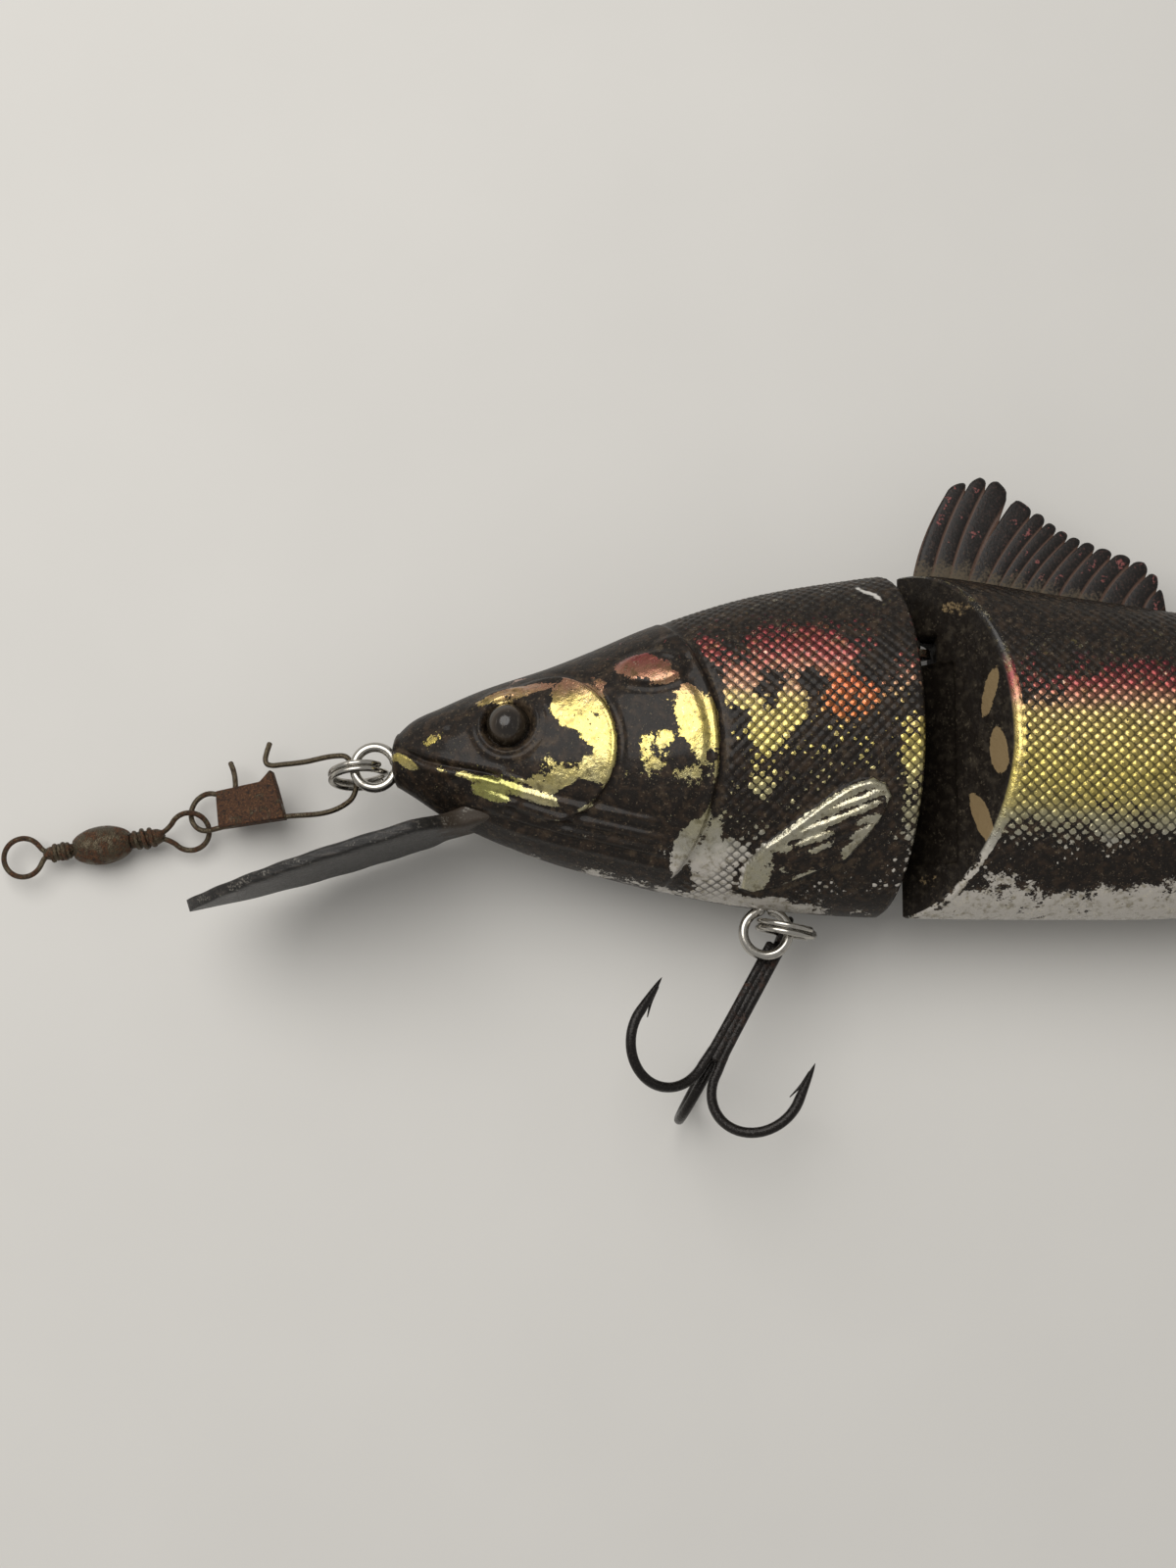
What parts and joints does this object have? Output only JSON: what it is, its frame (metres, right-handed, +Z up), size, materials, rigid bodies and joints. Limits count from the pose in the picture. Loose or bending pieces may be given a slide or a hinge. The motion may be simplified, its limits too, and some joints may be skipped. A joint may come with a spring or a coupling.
{
  "type": "jointed fishing lure",
  "caption": "Worn jointed fishing lure shaped like a trout, with a diving lip, back fin, treble hooks on split rings, and an opened snap and swivel still on its nose.",
  "frame": {"origin": "the point where the head section's flat spot, on its right flank, meets the surface the lure lies on", "axes": "+X from nose to tail, +Y from belly to back, +Z up out of the left flank; the lure lies on its right side"},
  "size_m": [0.2955, 0.1047, 0.0333],
  "materials": {
    "body_foil": "moulded plastic with embossed metallic foil under clear coat, pink over gold over silver, worn and covered with black-brown grime",
    "eye_glass": "dark glassy dome over faint rings",
    "lip_plastic": "black plastic, scratched, dusty and greasy",
    "fin_plastic": "thin ribbed plastic, black over worn pink",
    "bright_steel": "bright stainless wire, a little grimy",
    "old_brass": "tarnished and rusty wire and sheet",
    "hook_iron": "black bronze-finished steel with brown rust"
  },
  "bodies": {
    "front": {"head_section": "body_foil", "left_eye": "eye_glass", "right_eye": "eye_glass", "diving_lip": "lip_plastic", "tow_eye": "bright_steel", "nose_split_ring": "bright_steel", "snap_wire": "old_brass", "snap_clip": "old_brass", "swivel_snap_eye": "old_brass", "belly_eye": "bright_steel", "belly_split_ring": "bright_steel", "belly_treble": "hook_iron", "hinge_tongue": "old_brass"},
    "rear": {"rear_section": "body_foil", "hinge_pin": "bright_steel", "dorsal_fin": "fin_plastic", "tail_fin": "fin_plastic", "rear_hook_eye": "bright_steel", "rear_split_ring": "bright_steel", "rear_treble": "hook_iron"},
    "barrel": {"swivel_barrel": "old_brass"},
    "line_eye": {"swivel_line_eye": "old_brass"}
  },
  "joints": [
    {"name": "body_hinge", "type": "hinge", "parent": "front", "child": "rear", "pos_m": [0.0132, 0.0148, 0.016], "axis": [0, 1, 0], "range_deg": [-35, 35]},
    {"name": "barrel_spin", "type": "hinge", "parent": "front", "child": "barrel", "pos_m": [-0.1182, -0.0143, 0.00335], "axis": [0.9877, 0.1564, 0], "continuous": true},
    {"name": "line_eye_spin", "type": "hinge", "parent": "barrel", "child": "line_eye", "pos_m": [-0.1182, -0.0143, 0.00335], "axis": [0.9877, 0.1564, 0], "continuous": true}
  ]
}
